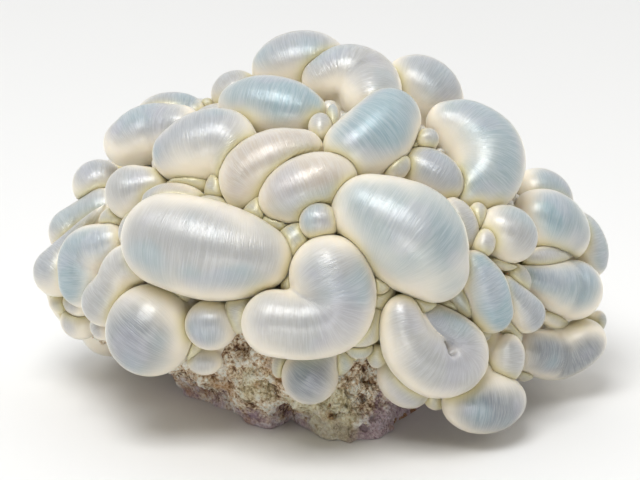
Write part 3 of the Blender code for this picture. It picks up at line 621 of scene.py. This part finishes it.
# Small buds of the front, as the ovals above, without names
FRONT_BUDS = [
    (-28.2, 34.0, 1.8, 1.6, 0, -6), (26.8, 25.2, 2.9, 2.8, 0, 6), (-20.2, -18.2, 5.2, 4.0, 75, 4),
    (-28.8, -30.2, 4.4, 3.5, 0, 2), (-64.8, -15.8, 3.0, 2.6, 0, -3), (-60.8, -16.0, 3.8, 3.0, -30, -1),
    (-54.8, -22.0, 3.2, 2.6, -60, 0), (-10.0, -31.5, 3.0, 2.0, 80, 0), (5.2, -30.2, 4.0, 3.0, 60, 1),
    (8.5, -28.5, 1.9, 1.6, 60, 0), (12.8, -29.0, 2.9, 2.2, 80, 1), (16.0, -27.5, 2.0, 1.7, 80, 1),
    (28.5, -40.0, 2.9, 2.3, -40, 3), (41.5, -32.0, 2.2, 1.7, 80, 4), (41.0, -0.8, 3.6, 2.8, 80, 6),
    (69.2, -20.5, 3.0, 2.4, 70, -4), (51.0, -33.0, 2.8, 2.4, 0, -2), (40.5, -23.2, 2.4, 2.0, -30, 2),
    (-6.5, -0.5, 5.6, 4.2, 40, 3), (-14.8, 7.0, 5.8, 3.7, 40, 1), (-26.5, 8.0, 5.0, 3.0, -15, 1),
    (-47.0, 3.5, 5.0, 2.9, 62, 1), (3.2, 31.2, 2.8, 1.6, 90, 4), (-7.5, -11.0, 2.6, 2.2, 60, 4),
    (32.8, -16.5, 4.0, 2.6, 20, 2), (15.0, -13.0, 6.4, 3.6, 68, 2), (29.5, 29.5, 3.6, 3.3, 0, -1),
    (45.8, -5.8, 3.6, 1.8, -10, 3), (59.2, -19.8, 4.6, 2.8, -20, -1), (-0.2, 4.5, 4.8, 4.6, 0, 7),
    (34.8, 4.2, 6.8, 4.3, -65, 2), (10.8, -21.2, 6.4, 5.2, 30, 2),
    (-33.0, 14.5, 5.5, 3.6, -10, 0), (-25.5, 13.0, 6.0, 3.2, 75, 0), (-36.9, -13.5, 5.0, 3.4, 0, 2),
    (-20.0, -13.0, 5.0, 3.4, 0, 3), (57.2, -4.7, 7.0, 3.2, 0, 0), (-10.6, 4.3, 4.5, 3.4, 0, 1),
    (47.2, -22.5, 4.5, 3.0, -60, 1), (19.2, 18.2, 3.8, 3.0, 45, 3), (35.7, -15.3, 5.0, 3.0, -50, 3),
    (0.1, 28.2, 3.6, 3.0, 90, 2), (-51.4, 5.2, 4.0, 3.2, 20, -1), (25.5, -15.7, 4.0, 3.0, -40, 4),
    (49.5, -9.6, 4.0, 3.0, -60, 2), (15.1, -10.5, 3.4, 2.8, 40, 5),
    (-32.1, -27.7, 3.6, 2.8, 60, 3),
    (39.4, 6.0, 3.4, 2.6, 90, 3), (9.8, -27.1, 3.4, 2.6, 0, 2), (23.6, 24.0, 3.0, 2.6, 60, 2),
    (14.3, -29.0, 3.0, 2.4, 80, 2),
]

# Small buds of the hidden back, as the back ovals above, without names
BACK_BUDS = [
    (-3, 9, 7.5, 6.0, 60), (27, 9, 6.5, 5.4, -40), (-36, 6, 7.0, 5.6, 30), (-37, 20, 5.5, 4.6, 0),
    (-9, -13, 6.0, 4.6, 0), (23, -7, 6.0, 4.6, 80), (-16, 37, 6.5, 5.2, 0), (24, 36, 6.5, 5.2, 20),
    (-38, -9, 6.0, 4.6, 80), (56, -4, 6.0, 4.8, 80), (-65, -6, 6.0, 4.8, 80), (-70, 12, 6.0, 5.0, 30),
    (66, 12, 6.5, 5.2, -30), (34, 22, 5.5, 4.6, 0),
]

Bubble = namedtuple("Bubble", "name colour line radii foot seen_from_front nearness")


def smooth_curve(points, count):
    """Places along a smooth curve through the points."""
    points = np.asarray(points, float)
    ends = np.vstack([2 * points[0] - points[1], points, 2 * points[-1] - points[-2]])
    place = np.linspace(0, len(points) - 1, count)
    first = np.minimum(place.astype(int), len(points) - 2)
    share = (place - first)[:, None]
    before, start, stop, after = (ends[first + step] for step in range(4))
    return 0.5 * (2 * start + (stop - before) * share
                  + (2 * before - 5 * start + 4 * stop - after) * share ** 2
                  + (3 * start - before - 3 * stop + after) * share ** 3)


def dome_depth(across, up):
    """How far in front of the view's middle the dome lies."""
    base = across[:, None] * VIEW_RIGHT + up[:, None] * VIEW_UP - DOME_MIDDLE
    ray = VIEW_NEAR / DOME
    a = (ray ** 2).sum()
    b = (base / DOME * ray).sum(1)
    c = ((base / DOME) ** 2).sum(1) - 1
    inside = np.maximum(b * b - a * c, 0)
    return (inside / (np.sqrt(inside) + RIM_SOFTNESS) - b) / a


def oval_radii(long, wide, share):
    """Radii along an oval's middle line, and half the length of that line."""
    end = wide * wide / long
    end += BLUNT * (BLUNT_END * wide - end)
    return np.sqrt(wide ** 2 - (wide ** 2 - end ** 2) * share ** 2), long - end


def neck_foot(line):
    """Where a bubble's neck meets the living skin."""
    foot = DOME_MIDDLE + NECK_REACH * (line[len(line) // 2] - DOME_MIDDLE)
    foot[2] = max(foot[2], SKIN_FOOT)
    return foot


def front_bubble(name, rows, out, colour, steps=STEPS):
    """A bubble whose middle line is known as seen from the front."""
    rows = smooth_curve(rows, steps + 1)
    depth = dome_depth(rows[:, 0], rows[:, 1])
    depth = depth.mean() + DEPTH_FOLLOW * (depth - depth.mean()) + out + rows[:, 3:].sum(axis=1)
    nearer = (1 - depth / VIEW_DISTANCE)[:, None]
    line = rows[:, :1] * nearer * VIEW_RIGHT + rows[:, 1:2] * nearer * VIEW_UP
    line = line + depth[:, None] * VIEW_NEAR
    return Bubble(name, colour, line, rows[:, 2], neck_foot(line), True, (depth + rows[:, 2]).max())


def front_oval(name, across, up, long, wide, tilt, out, colour):
    """A front bubble that is a plain oval."""
    share = np.linspace(-1, 1, OVAL_PLACES)
    radii, half = oval_radii(long, wide, share)
    turn = math.radians(tilt)
    rows = [across + share * half * math.cos(turn), up + share * half * math.sin(turn), radii]
    return front_bubble(name, np.column_stack(rows), out, colour)


def back_oval(name, round_by, above, long, wide, tilt, colour):
    """A bubble of the back, placed by its direction from the dome's middle."""
    share = np.linspace(-1, 1, STEPS + 1)
    radii, half = oval_radii(long, wide, share)
    side, height, turn = (math.radians(angle) for angle in (round_by, above, tilt))
    out = np.array([math.sin(side) * math.cos(height), math.cos(side) * math.cos(height), math.sin(height)])
    level = np.array([math.cos(side), -math.sin(side), 0.0])
    along = level * math.cos(turn) + np.cross(out, level) * math.sin(turn)
    flat = DOME * out + (share * half)[:, None] * along
    line = DOME_MIDDLE + flat / np.linalg.norm(flat / DOME, axis=1)[:, None]
    rank = line[:, 1].mean() + LEVEL_RANK * line[:, 2].mean()
    return Bubble(name, colour, line, radii, neck_foot(line), False, rank)


def cone_distance(points, start, stop, wide, narrow):
    """How far points are outside a straight stretch with round ends and changing radius."""
    along = stop - start
    length = along @ along
    slope = wide - narrow
    if length <= slope * slope * SWALLOWED:
        biggest, radius = (start, wide) if wide > narrow else (stop, narrow)
        return np.linalg.norm(points - biggest, axis=1) - radius
    rest = length - slope * slope
    away = points - start
    y = away @ along
    z = y - length
    x2 = ((away * length - along * y[:, None]) ** 2).sum(1)
    y2 = y * y * length
    z2 = z * z * length
    turn = math.copysign(1, slope) * slope * slope * x2
    side = (np.sqrt(x2 * rest / length) + y * slope) / length - wide
    side = np.where(np.sign(y) * rest * y2 < turn, np.sqrt(x2 + y2) / length - wide, side)
    return np.where(np.sign(z) * rest * z2 > turn, np.sqrt(x2 + z2) / length - narrow, side)


def stretch_distances(points, bubble):
    """How far points are outside each stretch of a bubble's middle line, and outside its neck."""
    middle, size = len(bubble.line) // 2, bubble.radii[len(bubble.radii) // 2]
    ends = zip(bubble.line, bubble.line[1:], bubble.radii, bubble.radii[1:])
    return (np.array([cone_distance(points, *end) for end in ends]),
            cone_distance(points, bubble.line[middle], bubble.foot, size * NECK_START, size * NECK_END))


def bubble_distance(points, bubble):
    """How far points are outside a bubble that nothing presses on."""
    stretches, neck = stretch_distances(points, bubble)
    return np.minimum(stretches.min(axis=0), neck)


def skin_distance(points):
    """About how far points are outside the living skin."""
    length = np.linalg.norm((points - DOME_MIDDLE) / SKIN, axis=1)
    return np.maximum((length - 1) * SKIN.min() - skin_fold(points), SKIN_FOOT - points[:, 2])


def rock_distance(points):
    """About how far points are outside the rock."""
    spots = points[:, :2] - ROCK_MIDDLE
    radius = rock_form(points[:, 2], np.arctan2(spots[:, 1], spots[:, 0]))
    return np.maximum((np.hypot(*spots.T) - radius) * 0.7, points[:, 2] - ROCK_TOP)


def press(own, other, gap=0.0):
    """A form pressed in by another with a rounded edge, staying the gap away from it."""
    dent = gap - other
    close = np.maximum(DENT_SOFTNESS - np.abs(own - dent), 0)
    return np.maximum(own, dent) + close ** 2 / (4 * DENT_SOFTNESS)


def pressed(away, points, neighbours):
    """A distance to a bubble with the dents of its neighbours, the skin, the rock and the floor."""
    for other in neighbours:
        away = press(away, bubble_distance(points, other))
    away = press(away, skin_distance(points))
    away = press(away, rock_distance(points))
    return press(away, points[:, 2] - FLOOR, FLOOR_GAP)


def near(bubble, other):
    """Whether two bubbles come near each other."""
    apart = np.linalg.norm(bubble.line[:, None] - other.line[None], axis=2)
    return (apart - bubble.radii[:, None] - other.radii[None]).min() < NEIGHBOUR_GAP


def let_out(starts, rays, neighbours, own_distance):
    """Walk each ray out to the bubble's pressed surface, never farther than the room that is left."""
    reach = np.zeros(len(rays))
    for _ in range(WALK_STEPS):
        points = starts + rays * reach[:, None]
        room = -pressed(own_distance(points), points, neighbours)
        reach += np.maximum(room, 0) * WALK_SHARE
    return starts + rays * reach[:, None]


def unit(vectors):
    """Vectors of length 1 with the same directions."""
    return vectors / np.linalg.norm(vectors, axis=-1, keepdims=True)


def bubble_outward(bubble):
    """The way in which a bubble's free side faces."""
    heart = DOME_MIDDLE + HEART * (1, 1 if bubble.seen_from_front else -1, 1)
    return bubble.line[len(bubble.line) // 2] - heart


def line_run(bubble):
    """How far along the middle line each of its places lies."""
    return np.concatenate([[0], np.cumsum(np.linalg.norm(np.diff(bubble.line, axis=0), axis=1))])


def fibre_places(points, bubble):
    """Where a bubble's corners lie among its fibres: along, round to the side and outwards."""
    away = np.linalg.norm(points[:, None] - bubble.line[None], axis=2) - bubble.radii[None]
    weight = np.exp(-(away - away.min(axis=1)[:, None]) / FIBRE_BLEND)
    weight /= weight.sum(axis=1)[:, None]
    along = unit(weight @ unit(np.gradient(bubble.line, axis=0)))
    from_line = points - weight @ bubble.line
    outward = bubble_outward(bubble)
    outward = unit(outward - along * (along @ outward)[:, None])
    size = np.linalg.norm(from_line, axis=1)
    tip, out, across = ((from_line * way).sum(1) for way in (along, outward, np.cross(along, outward)))
    ring = weight @ line_run(bubble) + size * np.arctan2(tip, np.hypot(out, TIP_SOFTNESS * size))
    return np.column_stack([ring, across / size, out / size])


def swollen(bubble, neighbours, ball):
    """Corners of a round bubble, let out from one place."""
    depth = pressed(bubble_distance(bubble.line, bubble), bubble.line, neighbours)
    start = bubble.line[depth.argmin()]
    length = np.linalg.norm(bubble.line[-1] - bubble.line[0])
    along = (bubble.line[-1] - bubble.line[0]) / length
    side = unit(np.cross(start - DOME_MIDDLE, along))
    stretch = np.array([1, 1, 1 + POLE_STRETCH * length / bubble.radii.max()])
    rays = unit((ball * stretch) @ np.array([side, np.cross(along, side), along]))
    return let_out(start, rays, neighbours, lambda places: bubble_distance(places, bubble))


def curled(bubble, neighbours, ball):
    """Corners of a curled bubble, let out all along its middle line, each no farther than its own turn."""
    run = line_run(bubble)
    first, last = bubble.radii[0], bubble.radii[-1]
    quarter = math.pi / 2
    share = np.arccos(np.clip(ball[:, 2], -1, 1)) / math.pi
    place = share * (run[-1] + (first + last) * quarter) - first * quarter
    tilt = np.minimum(place, 0) / first + np.maximum(place - run[-1], 0) / last
    spot = np.clip(place, 0, run[-1])
    steps = unit(np.gradient(bubble.line, axis=0))
    starts, along = (np.column_stack([np.interp(spot, run, values[:, axis]) for axis in range(3)])
                     for values in (bubble.line, steps))
    along = unit(along)
    outward = bubble_outward(bubble)
    outward = unit(outward - along * (along @ outward)[:, None])
    turn = np.arctan2(ball[:, 1], ball[:, 0])
    radial = np.cross(along, outward) * np.cos(turn)[:, None] + outward * np.sin(turn)[:, None]
    rays = radial * np.cos(tilt)[:, None] + along * np.sin(tilt)[:, None]
    middles = (run[1:] + run[:-1]) / 2
    apart = np.abs(middles[:, None] - spot) / np.interp(spot, run, bubble.radii)
    from_middle = np.abs(spot - run[-1] / 2) / bubble.radii[len(bubble.radii) // 2]

    def own_turn(places):
        stretches, neck = stretch_distances(places, bubble)
        return np.minimum(np.where(apart < OWN_TURN, stretches, FAR).min(axis=0),
                          np.where(from_middle < OWN_TURN, neck, FAR))

    return let_out(starts, rays, neighbours, own_turn)


def one_skin(piece):
    """Make a curled bubble's mesh anew over its turns, with the creases between them rounded."""
    over = piece.modifiers.new("one skin", "REMESH")
    over.mode = "VOXEL"
    over.voxel_size = SKIN_GRID * MM
    soft = piece.modifiers.new("soft creases", "SMOOTH")
    soft.factor = 0.5
    soft.iterations = CREASE_ROUNDS
    kept(piece)
    piece.data.polygons.foreach_set("use_smooth", [True] * len(piece.data.polygons))
    places = np.empty(len(piece.data.vertices) * 3)
    piece.data.vertices.foreach_get("co", places)
    return places.reshape(-1, 3) / MM + (*BOX_MIDDLE, FLOOR)


def bubble_piece(bubble, neighbours, material):
    """A ball let out to the bubble's surface, with its fibre and crowding attributes."""
    spokes = int(SPOKES_LEAST + SPOKES_PER_SIZE * bubble.radii.max())
    curls = bubble.name in [name for name, *_ in FRONT_CURLS]
    rings = int(spokes * (CURL_RINGS if curls else OVAL_RINGS))
    shape = bmesh.new()
    bmesh.ops.create_uvsphere(shape, u_segments=spokes, v_segments=rings, radius=1)
    ball = np.array([vertex.co for vertex in shape.verts])
    points = (curled if curls else swollen)(bubble, neighbours, ball)
    for vertex, point in zip(shape.verts, points):
        vertex.co = point
    piece = new_piece(bubble.name + "_bubble", shape, material)
    if curls:
        points = one_skin(piece)
    room = np.minimum(skin_distance(points), rock_distance(points))
    for other in neighbours:
        room = np.minimum(room, bubble_distance(points, other))
    # closeness to the neighbours, the skin and the rock: it drives the green-gold, partly painted shade
    crowd = np.exp(-np.maximum(room, 0) / CROWD_REACH)
    tint = np.tile((*bubble.colour, 1.0), (len(points), 1))
    for name, kind, field, values in (("fibre", "FLOAT_VECTOR", "vector", fibre_places(points, bubble)),
                                      ("crowd", "FLOAT", "value", crowd),
                                      ("tint", "FLOAT_COLOR", "color", tint)):
        piece.data.attributes.new(name, kind, "POINT").data.foreach_set(field, values.ravel())
    return piece


def bubble_material():
    """Pearly tissue: cream rims painted brighter as a glow, a cooler crown painted darker as a reflection,
    fine pale fibres partly painted as glints, and green-gold where bubbles meet, partly painted shade.
    """
    material, tree = new_material("pearly bubble")
    place = add_node(tree, "ShaderNodeTexCoord", {}, {}, "Object")
    ring, side, out = axes_of(tree, carried(tree, "fibre", "Vector"))
    crowd = carried(tree, "crowd")
    tint = carried(tree, "tint", "Color")
    wander = cloud(tree, place, 7.0)
    patch = cloud(tree, place, 15.0, 1.0)
    lane = add_node(tree, "ShaderNodeCombineXYZ", {},
                    {0: ring * 4.4 + wander * 2.5, 1: side * 1.5, 2: out * 0.8 + patch * 3})
    lines = add_node(tree, "ShaderNodeTexNoise", {},
                     {"Vector": lane, "Scale": 1.0, "Detail": 2.0, "Roughness": 0.6})
    # painted reflection and glow: the crown facing out is painted darker and cooler, the rims brighter cream
    crown = steps_up(out + (patch - 0.5) * 0.8, 0.20, 1.0)
    tint = blend(tree, steps_up(patch, 0.50, 0.70) * 0.4, tint, TURQUOISE_SHEEN)
    tint = blend(tree, steps_up(cloud(tree, place, 11.0, 1.0), 0.5, 0.66) * 0.35, tint, LILAC_SHEEN)
    # paler fibre lines: the fibres' own marks, partly painted as the glints they catch
    tint = blend(tree, steps_up(lines, 0.38, 0.66) * 0.25, tint, FIBRE_AND_GLINT)
    colour = blend(tree, crown, CREAM_RIM_GLOW, tint)
    # green-gold where bubbles meet: the tissue's own tint, darkened in the crease as painted shade
    meeting = steps_up(crowd, 0.10, 0.9)
    colour = blend(tree, meeting * 0.8, colour, GREEN_GOLD_AND_SHADE)
    bump = add_node(tree, "ShaderNodeBump", {},
                    {"Strength": 0.7, "Distance": 0.00025, "Height": lines * crown})
    close_material(tree, {"Base Color": colour, "Roughness": 0.24 + lines * 0.2, "Normal": bump,
                          "Metallic": crown * 0.2, "Specular IOR Level": 0.5,
                          "Subsurface Weight": 0.35, "Subsurface Scale": 1.0,
                          "Subsurface Radius": (0.003, 0.0026, 0.0018),
                          "Coat Weight": 0.45, "Coat Roughness": 0.3,
                          "Sheen Weight": 0.7, "Sheen Roughness": 0.25, "Sheen Tint": (1.0, 0.96, 0.84, 1)})
    return material


bubble_finish = bubble_material()
bubbles = [front_oval(*row) for row in FRONT_OVALS]
bubbles += [front_bubble(name, rows, out, colour) for name, out, colour, *rows in FRONT_CHAINS]
bubbles += [front_bubble(name, rows, out, colour, 2 * STEPS) for name, out, colour, *rows in FRONT_CURLS]
bubbles += [back_oval(*row) for row in BACK_OVALS]
buds = [front_oval(f"bud_{number}", *row, CREAM) for number, row in enumerate(FRONT_BUDS, 1)]
buds += [back_oval(f"back_bud_{number}", *row, CREAM)._replace(nearness=-number)
         for number, row in enumerate(BACK_BUDS, 100)]
ranked = sorted(bubbles + buds, key=lambda bubble: (bubble.seen_from_front, bubble.nearness), reverse=True)
bud_pieces = []
for place, bubble in enumerate(ranked):
    before = [other for other in ranked[:place] if near(bubble, other)]
    piece = bubble_piece(bubble, before, bubble_finish)
    if bubble in buds:
        bud_pieces.append(piece)
    else:
        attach(piece, "root")
        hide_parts(bubble.name)


# Small buds
# Young bubbles, only millimetres wide, swell in the gaps between the large ones.
# They are the same pearly tissue and grow from the same skin.
def joined(name, pieces):
    """One piece from several."""
    with bpy.context.temp_override(active_object=pieces[0], object=pieces[0], selected_objects=pieces,
                                   selected_editable_objects=pieces):
        bpy.ops.object.join()
    pieces[0].name = name
    return pieces[0]


small_buds = joined("small_buds", bud_pieces)
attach(small_buds, "root")


# Tiniest buds
# The smallest buds are drops a few millimetres long that fill what room is left between the bubbles.
# They are pearly like the rest and stand on the skin with their thin ends inwards.
BUD_TRIES = 3000
BUD_LEVELS = (0.84, 0.89)
BUD_ROOM = (1.4, 2.6)  # the least and the most room for a drop
BUD_SPREAD = 0.85  # how much of their two radii drops stay apart
BUD_DEPTH = 1.25  # how far down the dome they reach, in its heights
BUD_IN_SKIN = 1.0  # how far a drop may stand in the skin, and in the rock
BUD_IN_ROCK = 0.5
BUD_FOOT = SKIN_FOOT + 1
BUD_TINT = (0.62, 0.60, 0.54, 1)


def bud_places():
    """Middles, radii and outward directions of the drops, the roomiest first."""
    step = np.arange(BUD_TRIES) + 0.5
    height = 1 - BUD_DEPTH * step / BUD_TRIES
    turn = step * math.pi * (1 + math.sqrt(5))
    flat = np.sqrt(np.maximum(1 - height ** 2, 0))
    ways = np.column_stack([flat * np.cos(turn), flat * np.sin(turn), height])
    spots = np.vstack([DOME_MIDDLE + ways * DOME * level for level in BUD_LEVELS])
    outward = np.tile(ways, (len(BUD_LEVELS), 1))
    room = np.minimum(skin_distance(spots) + BUD_IN_SKIN, rock_distance(spots) + BUD_IN_ROCK)
    for bubble in bubbles + buds:
        room = np.minimum(room, bubble_distance(spots, bubble))
    chosen = []
    for row in np.argsort(-room):
        if room[row] < BUD_ROOM[0] or spots[row, 2] < BUD_FOOT:
            continue
        size = min(room[row], BUD_ROOM[1])
        if all(np.linalg.norm(spots[row] - spots[other]) > (size + reach) * BUD_SPREAD
               for other, reach in chosen):
            chosen.append((row, size))
    rows = [row for row, size in chosen]
    return spots[rows], np.array([size for row, size in chosen]), outward[rows]


def bud_tree(material):
    """A drop on every point, as large as its room and turned outwards, with the bubbles' markings."""
    tree, size = new_tree("Drops", ["Length"])
    place = add_node(tree, "GeometryNodeInputPosition")
    ball = add_node(tree, "GeometryNodeMeshUVSphere", {}, {"Segments": 9, "Rings": 6, "Radius": 1.0})
    x, y, z = axes_of(tree, place)
    mark = add_node(tree, "ShaderNodeCombineXYZ", {}, {0: x * 2, 1: y, 2: z})
    ball = marked(tree, ball, "FLOAT_VECTOR", "fibre", mark)
    # green-gold towards each drop's inner end, partly painted shade
    ball = marked(tree, ball, "FLOAT", "crowd", 0.35 - z * 0.35)
    ball = marked(tree, ball, "FLOAT_COLOR", "tint", BUD_TINT)
    reach, outward = (add_node(tree, "GeometryNodeInputNamedAttribute", {"data_type": kind}, {"Name": name})
                      for name, kind in (("reach", "FLOAT"), ("outward", "FLOAT_VECTOR")))
    turn = add_node(tree, "FunctionNodeAlignRotationToVector", {"axis": "Z"}, {"Vector": outward})
    scale = add_node(tree, "ShaderNodeCombineXYZ", {}, {0: reach, 1: reach, 2: reach * size["Length"]})
    drops = add_node(tree, "GeometryNodeInstanceOnPoints", {},
                     {"Points": size["Geometry"], "Instance": ball, "Rotation": turn, "Scale": scale})
    plain = add_node(tree, "GeometryNodeRealizeInstances", {}, {"Geometry": drops})
    smooth = add_node(tree, "GeometryNodeSetShadeSmooth", {}, {"Geometry": plain})
    clad = add_node(tree, "GeometryNodeSetMaterial", {}, {"Geometry": smooth, "Material": material})
    add_node(tree, "NodeGroupOutput", {}, {"Geometry": clad})
    return tree


spots, reaches, outwards = bud_places()
seeds = bpy.data.meshes.new("tiny_buds")
seeds.from_pydata(placed(spots).tolist(), [], [])
seeds.attributes.new("reach", "FLOAT", "POINT").data.foreach_set("value", reaches * MM)
seeds.attributes.new("outward", "FLOAT_VECTOR", "POINT").data.foreach_set("vector", outwards.ravel())
tiny_buds = bpy.data.objects.new("tiny_buds", seeds)
bpy.context.collection.objects.link(tiny_buds)
grown(tiny_buds, bud_tree(bubble_finish), {"Length": 1.25})
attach(tiny_buds, "root")


# Floor, light and camera
# A plain pale floor and soft studio light from above, with the camera where the photograph was taken.
CAMERA_LENS = 225.0  # gives 0.25 mm a pixel at VIEW_DISTANCE
FLOOR_SIZE = 6.0
FLOOR_DROP = 0.0002  # keeps the floor just under the rock's cut
STUDIO_LIGHT = 0.96
CAMERA_SIDE_SHADE = 0.90  # how much darker the studio is behind the camera
view_middle = Vector(placed((0.0, 0.0, 0.0)))

bpy.ops.mesh.primitive_plane_add(size=FLOOR_SIZE, location=(0, 0, -FLOOR_DROP))
floor = bpy.context.object
floor.name = "floor"
floor_finish, floor_tree = new_material("pale floor")
close_material(floor_tree, {"Base Color": (0.82, 0.82, 0.81, 1), "Roughness": 0.8})
floor.data.materials.append(floor_finish)


def add_softbox(name, place, size, power):
    """A square area light that faces the colony."""
    light = bpy.data.lights.new(name, "AREA")
    light.size = size
    light.energy = power
    lamp = bpy.data.objects.new(name, light)
    lamp.location = place
    lamp.rotation_euler = (view_middle - Vector(place)).to_track_quat("-Z", "Y").to_euler()
    bpy.context.collection.objects.link(lamp)


add_softbox("top softbox", place=(-0.20, -0.50, 1.15), size=0.6, power=11.5)
add_softbox("front softbox", place=(-0.10, -1.7, 0.05), size=0.6, power=8.0)

world = bpy.data.worlds.new("studio")
bpy.context.scene.world = world
world.use_nodes = True
sky = world.node_tree
sky.nodes.clear()
direction = add_node(sky, "ShaderNodeTexCoord", {}, {}, "Generated")
towards_camera = add_node(sky, "ShaderNodeVectorMath", {"operation": "DOT_PRODUCT"},
                          {0: direction, 1: tuple(VIEW_NEAR)}, "Value")
glow = STUDIO_LIGHT - CAMERA_SIDE_SHADE * steps_up(towards_camera, 0.0, 0.95)
studio = add_node(sky, "ShaderNodeBackground", {}, {"Color": (1, 1, 1, 1), "Strength": glow})
add_node(sky, "ShaderNodeOutputWorld", {}, {"Surface": studio})

camera = bpy.data.objects.new("camera", bpy.data.cameras.new("camera"))
camera.data.lens = CAMERA_LENS
camera.data.clip_start = 0.01
camera.location = view_middle + Vector(VIEW_NEAR) * VIEW_DISTANCE * MM
camera.rotation_euler = (view_middle - camera.location).to_track_quat("-Z", "Y").to_euler()
bpy.context.collection.objects.link(camera)
bpy.context.scene.camera = camera
bpy.context.scene.view_settings.view_transform = "Standard"
